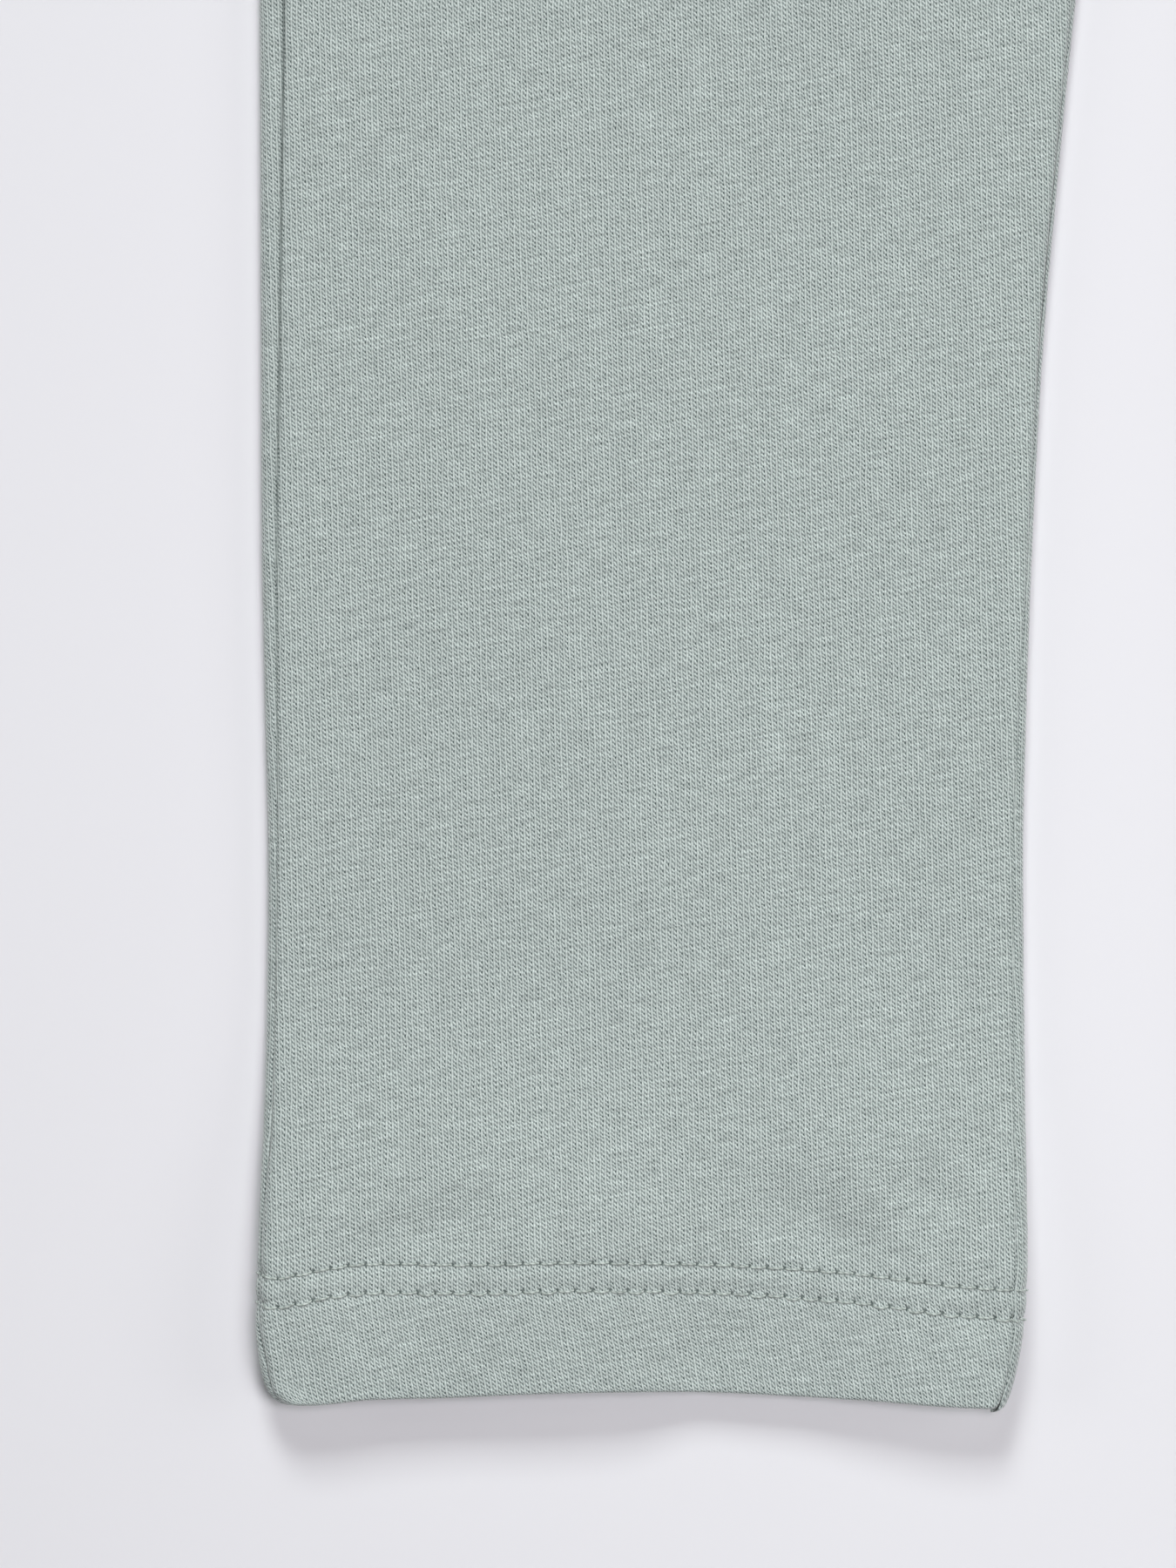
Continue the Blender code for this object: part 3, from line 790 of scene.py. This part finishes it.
# The tube is open, so it can come out inside out. Its highest face has to look up.
if max(one_stitch.data.polygons, key=lambda face: face.center.z).normal.z < 0:
    one_stitch.data.flip_normals()
print("one stitch has", len(one_stitch.data.polygons), "faces")

# %% [markdown]
# ## The thread
#
# Sewing thread is spun polyester, twisted from plies, and shinier than cotton. Its twist shows as slanted
# bands about 0.4 mm apart, painted light on each ply and dark in the groove between plies, where shade falls.
# They are counted along the stitch, from a UV map made as each copy is placed.

# %% The thread material
TWIST = 0.85


def sewing_thread(name):
    """Two-ply spun polyester: lighter than the cloth, with a soft gloss, never twice the same tone."""
    material, tree, shader = new_material(name, roughness=0.6, Sheen_Weight=0.1, Specular_IOR_Level=0.35)
    wound = node(tree, "ShaderNodeUVMap", uv_map="wound")
    turns = node(tree, "ShaderNodeSeparateXYZ", (wound,), output=0)
    along = node(tree, "ShaderNodeSeparateXYZ", (wound,), output=1)
    ply = node(tree, "ShaderNodeMath", (node(tree, "ShaderNodeMath", (along, turns), operation="ADD"),
                                        2 * math.pi), operation="MULTIPLY")
    twist = node(tree, "ShaderNodeMath", (ply,), operation="SINE")
    twist = node(tree, "ShaderNodeMapRange", {0: twist, 1: -1.0, 2: 0.4, 3: 0.0, 4: 1.0})
    # The thread's tone drifts lighter and darker at random.
    uneven_tone = node(tree, "ShaderNodeTexNoise", {"Vector": wound, "Scale": 0.35, "Detail": 3.0})
    tone = node(tree, "ShaderNodeMath", (uneven_tone, 1.1, 0.30), operation="MULTIPLY_ADD")
    # The twist's bands are painted: light on each ply, painted shade in the groove between plies.
    colour = node(tree, "ShaderNodeMix", {0: twist, "A": linear("#a3afa8"), "B": linear("#d3dcd6")},
                  output=2, data_type="RGBA")
    colour = node(tree, "ShaderNodeMix", {0: 1.0, "A": colour, "B": tone},
                  output=2, data_type="RGBA", blend_type="MULTIPLY")
    tree.links.new(colour, shader.inputs["Base Color"])
    bump = node(tree, "ShaderNodeBump", {"Strength": 0.6, "Distance": 0.05 * MM, "Height": twist})
    tree.links.new(bump, shader.inputs["Normal"])
    return material


thread = sewing_thread("sewing_thread")
print("twist every", TWIST, "mm")


# %% Lay the stitches along the rows
def thread_uv(base, faces):
    """The UV of each face's corners on one stitch: turns round the thread, and twists along it."""
    part = base[:, 0] / STITCH
    middle = np.interp(part, [bend.along for bend in STITCH_BENDS], [bend.rise for bend in STITCH_BENDS])
    turn = np.arctan2(base[:, 1], base[:, 2] - middle) / (2 * np.pi)
    corners = np.stack([turn, part * STITCH / TWIST], axis=-1)[faces]
    highest = corners[:, :, 0].max(axis=1, keepdims=True)
    corners[:, :, 0] += corners[:, :, 0] < highest - 0.5
    return corners


def sew_row(name, surface, holes, height_of, outward, bows):
    """A stitch from each needle hole to the next, bent to the cloth and a little out of line."""
    base = np.array([v.co[:] for v in one_stitch.data.vertices]) / MM
    faces = np.array([p.vertices[:] for p in one_stitch.data.polygons])
    part = base[:, 0] / STITCH
    centre = holes[:-1, None] + np.diff(holes)[:, None] * part
    height = height_of(centre)
    ahead, behind = surface(centre + 0.4, height), surface(centre - 0.4, height)
    run = ahead - behind
    up = np.cross(run, surface(centre, height + 0.8) - surface(centre, height - 0.8)) * outward
    up /= np.linalg.norm(up, axis=-1, keepdims=True)
    sideways = np.cross(up, run)
    sideways /= np.linalg.norm(sideways, axis=-1, keepdims=True)
    out_of_line = base[:, 1] - outward * (bows[:, None] * 4 * part * (1 - part) + 0.14 * part)
    points = surface(centre, height) + (sideways * out_of_line[..., None] + up * base[:, 2:]) * MM
    count = len(centre)
    first_vertex = np.arange(count)[:, None, None] * len(base)
    corners = np.tile(thread_uv(base, faces), (count, 1, 1, 1))
    corners[..., 1] += 3.0 * np.arange(count)[:, None, None]
    mesh = bpy.data.meshes.new(name)
    mesh.from_pydata(points.reshape(-1, 3).tolist(), [], (faces + first_vertex).reshape(-1, 4).tolist())
    layer = mesh.uv_layers.new(name="wound")
    layer.data.foreach_set("uv", corners.astype(np.float32).reshape(-1))
    mesh.materials.append(thread)
    mesh.shade_smooth()
    made = bpy.data.objects.new(name, mesh)
    bpy.context.scene.collection.objects.link(made)
    return made


def uneven_bows(count, row):
    """How far each thread hangs below its holes: the lower row is looser."""
    turn = np.arange(count)
    return 0.08 + 0.19 * row + (0.06 + 0.09 * row) * np.sin(2.7 * turn + np.sin(1.9 * turn) + row)


def hem_row(name, side, face, row):
    in_line, out_line = (float(line) for line in seam_lines(face, np.array(17.0)))
    first = math.ceil((in_line + 1.0) / STITCH) * STITCH
    holes = np.r_[in_line + 0.15, np.arange(first, out_line - 1.0, STITCH), out_line - 0.45]
    outward = 1.0 if (side == LEFT) == (face == FRONT) else -1.0

    def surface(centre, height):
        return leg_surface(side, face, centre, height)

    def height_of(centre):
        return read(HEM_ROW, "above", across_of(centre, 18.0)) - row * ROW_SPACING

    return sew_row(name, surface, holes, height_of, outward, uneven_bows(len(holes) - 1, row))


threads = {}
for side, wearer in ((RIGHT, "right"), (LEFT, "left")):
    for face, way in ((FRONT, "front"), (BACK, "back")):
        for row in range(ROW_COUNT):
            name = f"stitches_{way}_{wearer}_{row + 1}"
            threads[name] = hem_row(name, side, face, row)
bpy.data.objects.remove(one_stitch)
print("stitch rows:", len(threads), "with", sum(len(t.data.polygons) for t in threads.values()), "faces")

# %% [markdown]
# ## What each piece rides on
#
# Cloth has no joints, so every piece rides on the one body. Each jersey sheet stands for the solid whose form
# it follows, and that solid is hidden.

# %% Ride and replace
Cut = namedtuple("Cut", "width length area")
for panel, piece in panels.items():
    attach(piece, "root")
    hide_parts(panel)
    way, wearer = panel.split("_")[:2]
for name, row in threads.items():
    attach(row, "root")
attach(waistband, "root")
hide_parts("waistband")
print("pieces:", len(panels) + len(threads) + 1)

# %% [markdown]
# ## The table, the light and the camera
#
# The trousers lie on a plain white table. The main light is a large soft window beyond the waist, 42 degrees
# up, so the lifted hem throws a short soft shadow towards the viewer. The ceiling and a corner at the lower
# right fill that shadow, and two low walls brighten the rolled side edges. The camera looks straight down at
# the lower part of the right leg.

# %% Table
bpy.ops.object.select_all(action="DESELECT")
bpy.ops.mesh.primitive_plane_add(size=6.0, location=(0, 0, 0))
floor = bpy.context.object
floor.name = "floor"
paint, tree, shader = new_material("white_table", roughness=0.6, Specular_IOR_Level=0.2)
shader.inputs["Base Color"].default_value = linear("#e6e5e8")
floor.data.materials.append(paint)
print("table is white")

# %% Camera
PX_PER_MM = 8.0
PHOTO_WIDTH, PHOTO_HEIGHT = 1350, 1800
CENTRE_LINE_PX = 1500
HEM_LINE_PX = 1604
LENS = 180.0
CLOTH_TOP = 3.6

camera = bpy.data.objects.new("camera", bpy.data.cameras.new("camera"))
bpy.context.scene.collection.objects.link(camera)
bpy.context.scene.camera = camera
camera.data.lens = LENS
camera.data.sensor_width = 36.0
frame_height = PHOTO_HEIGHT / PX_PER_MM
distance = frame_height * LENS / camera.data.sensor_width
look_x = (PHOTO_WIDTH / 2 - CENTRE_LINE_PX) / PX_PER_MM
look_y = (HEM_LINE_PX - PHOTO_HEIGHT / 2) / PX_PER_MM - PAGE_MIDDLE
camera.location = (look_x * MM, look_y * MM, (distance + CLOTH_TOP) * MM)
camera.rotation_euler = (0, 0, 0)
camera.data.clip_start = 0.01
print("camera is", round(distance), "mm above the cloth")


# %% Lights
def soft_light(name, azimuth, elevation, away, width, height, power, colour=(1.0, 1.0, 1.0)):
    """A large light aimed at the middle of what the camera sees. Azimuth 0 is beyond the waist."""
    light = bpy.data.lights.new(name, "AREA")
    light.shape, light.size, light.size_y = "RECTANGLE", width, height
    light.energy, light.color = power, colour
    made = bpy.data.objects.new(name, light)
    target = Vector((look_x * MM, look_y * MM, 0))
    a, e = math.radians(azimuth), math.radians(elevation)
    way = Vector((math.sin(a) * math.cos(e), math.cos(a) * math.cos(e), math.sin(e)))
    made.location = target + way * away
    made.rotation_euler = (-way).to_track_quat("-Z", "Y").to_euler()
    bpy.context.scene.collection.objects.link(made)


soft_light("window", azimuth=-8, elevation=42, away=1.7, width=0.55, height=0.6, power=17.1,
           colour=(0.952, 1.0, 0.993))
soft_light("ceiling", azimuth=90, elevation=82, away=1.0, width=0.25, height=0.25, power=3.4,
           colour=(1.0, 0.925, 1.0))
soft_light("corner", azimuth=125, elevation=68, away=0.55, width=0.18, height=0.18, power=0.76,
           colour=(0.94, 1.0, 0.98))
soft_light("right_wall", azimuth=92, elevation=27, away=1.1, width=0.7, height=0.4, power=2.0)
soft_light("left_wall", azimuth=268, elevation=27, away=1.1, width=0.7, height=0.4, power=1.5)
world = bpy.context.scene.world or bpy.data.worlds.new("room")
bpy.context.scene.world = world
world.use_nodes = True
world.node_tree.nodes["Background"].inputs["Strength"].default_value = 0.0
bpy.context.scene.view_settings.view_transform = "Standard"
print("lights: a window, the ceiling, a corner and two walls")
